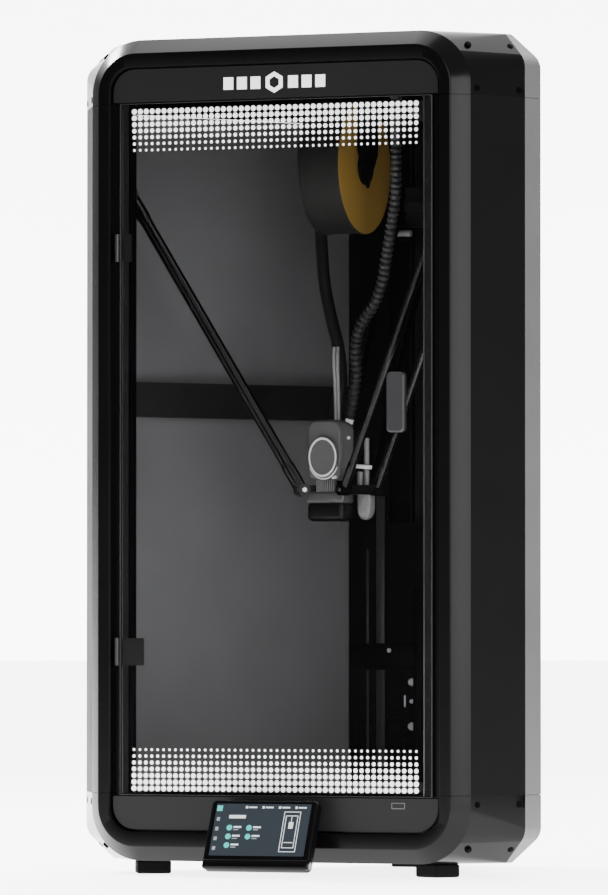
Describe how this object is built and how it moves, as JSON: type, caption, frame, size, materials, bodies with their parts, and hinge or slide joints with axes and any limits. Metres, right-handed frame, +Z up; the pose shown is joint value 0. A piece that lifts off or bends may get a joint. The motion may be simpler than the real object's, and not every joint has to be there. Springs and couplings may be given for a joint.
{
  "type": "delta 3d printer",
  "caption": "Tall enclosed delta 3D printer: triangular cabinet, hinged glass door with a dotted border, belt towers, head on rods, filament spool, tilted touch screen.",
  "frame": {"origin": "on the floor, under the middle of the printer in plan", "axes": "+Z up; -Y towards the front, where the glass door and the screen are; +X to the right as seen from the front"},
  "size_m": [0.7208, 0.6948, 1.22],
  "materials": {
    "black_paint": "satin",
    "dark_panel": "fine matt texture",
    "satin_strip": "satin",
    "matt_black": "matt",
    "grey_wall": "gloss",
    "tinted_glass": "clear, printed with white dots",
    "handle_grey": "satin",
    "head_plastic": "satin",
    "carriage_grey": "anodised",
    "column": "brushed",
    "pulley": "machined",
    "carbon": "carbon fibre, semi-gloss",
    "rubber": "matt",
    "hose": "corrugated",
    "brass": "machined",
    "bed": "matt build surface",
    "spool": "satin",
    "screen": "gloss"
  },
  "bodies": {
    "cabinet": {"air_hose": "hose", "base_pan": "black_paint", "belt_left": "rubber", "belt_rear": "rubber", "belt_right": "rubber", "cable_sleeve": "rubber", "crossbar_left": "matt_black", "crossbar_right": "matt_black", "deck_plate": "matt_black", "fascia_bottom": "dark_panel", "fascia_top": "dark_panel", "foot_left": "rubber", "foot_rear": "rubber", "foot_right": "rubber", "front_post_left": "black_paint", "front_post_right": "black_paint", "motor_left": "matt_black", "motor_rear": "matt_black", "motor_right": "matt_black", "print_bed": "bed", "rear_post_left": "satin_strip", "rear_post_right": "satin_strip", "rear_shroud": "matt_black", "rear_spine": "matt_black", "rear_wall_left": "grey_wall", "rear_wall_right": "grey_wall", "screen_bracket": "matt_black", "side_cover_left": "dark_panel", "side_cover_right": "dark_panel", "spool_bracket": "matt_black", "top_cap": "black_paint", "tower_left": "column", "tower_rear": "column", "tower_right": "column"},
    "door": {"door_glass": "tinted_glass", "door_handle": "handle_grey", "hinge_lower": "matt_black", "hinge_upper": "matt_black"},
    "spool": {"spool": "spool"},
    "screen": {"screen": "screen"},
    "effector": {"effector": "head_plastic", "head_cover": "head_plastic", "extruder": "head_plastic", "nozzle": "brass", "cooling_duct": "hose", "arm_left_a": "carbon", "arm_left_b": "carbon", "arm_rear_a": "carbon", "arm_rear_b": "carbon", "arm_right_a": "carbon", "arm_right_b": "carbon"},
    "carriage_left": {"carriage_left": "carriage_grey"},
    "pulley_left": {"pulley_left": "pulley"},
    "idler_left": {"idler_left": "pulley"},
    "carriage_right": {"carriage_right": "carriage_grey"},
    "pulley_right": {"pulley_right": "pulley"},
    "idler_right": {"idler_right": "pulley"},
    "carriage_rear": {"carriage_rear": "carriage_grey"},
    "pulley_rear": {"pulley_rear": "pulley"},
    "idler_rear": {"idler_rear": "pulley"}
  },
  "joints": [
    {"name": "effector_height", "type": "slide", "parent": "cabinet", "child": "effector", "axis": [0, 0, 1], "range_m": [-0.385, 0.08], "deforming": ["air_hose", "cable_sleeve"]},
    {"name": "door_swing", "type": "hinge", "parent": "cabinet", "child": "door", "pos_m": [-0.252, -0.27494, 0.62], "axis": [0, 0, -1], "range_deg": [0, 110]},
    {"name": "spool_spin", "type": "hinge", "parent": "cabinet", "child": "spool", "pos_m": [0, -0.02094, 1.041], "axis": [1, 0, 0], "continuous": true},
    {"name": "screen_tilt", "type": "hinge", "parent": "cabinet", "child": "screen", "pos_m": [0, -0.30294, 0.062], "axis": [1, 0, 0], "range_deg": [-5, 8]},
    {"name": "carriage_left_slide", "type": "slide", "parent": "cabinet", "child": "carriage_left", "axis": [0, 0, 1], "range_m": [-0.385, 0.08]},
    {"name": "pulley_left_spin", "type": "hinge", "parent": "cabinet", "child": "pulley_left", "pos_m": [-0.28362, -0.20769, 0.08], "axis": [-0.866, -0.5, 0], "continuous": true},
    {"name": "idler_left_spin", "type": "hinge", "parent": "cabinet", "child": "idler_left", "pos_m": [-0.28362, -0.20769, 1.145], "axis": [-0.866, -0.5, 0], "continuous": true},
    {"name": "carriage_right_slide", "type": "slide", "parent": "cabinet", "child": "carriage_right", "axis": [0, 0, 1], "range_m": [-0.385, 0.08]},
    {"name": "pulley_right_spin", "type": "hinge", "parent": "cabinet", "child": "pulley_right", "pos_m": [0.28362, -0.20769, 0.08], "axis": [0.866, -0.5, 0], "continuous": true},
    {"name": "idler_right_spin", "type": "hinge", "parent": "cabinet", "child": "idler_right", "pos_m": [0.28362, -0.20769, 1.145], "axis": [0.866, -0.5, 0], "continuous": true},
    {"name": "carriage_rear_slide", "type": "slide", "parent": "cabinet", "child": "carriage_rear", "axis": [0, 0, 1], "range_m": [-0.385, 0.08]},
    {"name": "pulley_rear_spin", "type": "hinge", "parent": "cabinet", "child": "pulley_rear", "pos_m": [0, 0.28356, 0.08], "axis": [0, 1, 0], "continuous": true},
    {"name": "idler_rear_spin", "type": "hinge", "parent": "cabinet", "child": "idler_rear", "pos_m": [0, 0.28356, 1.145], "axis": [0, 1, 0], "continuous": true}
  ],
  "couplings": [
    {"joint": "carriage_left_slide", "follows": "effector_height", "ratio": 1},
    {"joint": "pulley_left_spin", "follows": "effector_height", "rad_per_m": 58.48},
    {"joint": "idler_left_spin", "follows": "effector_height", "rad_per_m": 58.48},
    {"joint": "carriage_right_slide", "follows": "effector_height", "ratio": 1},
    {"joint": "pulley_right_spin", "follows": "effector_height", "rad_per_m": 58.48},
    {"joint": "idler_right_spin", "follows": "effector_height", "rad_per_m": 58.48},
    {"joint": "carriage_rear_slide", "follows": "effector_height", "ratio": 1},
    {"joint": "pulley_rear_spin", "follows": "effector_height", "rad_per_m": 58.48},
    {"joint": "idler_rear_spin", "follows": "effector_height", "rad_per_m": 58.48}
  ]
}
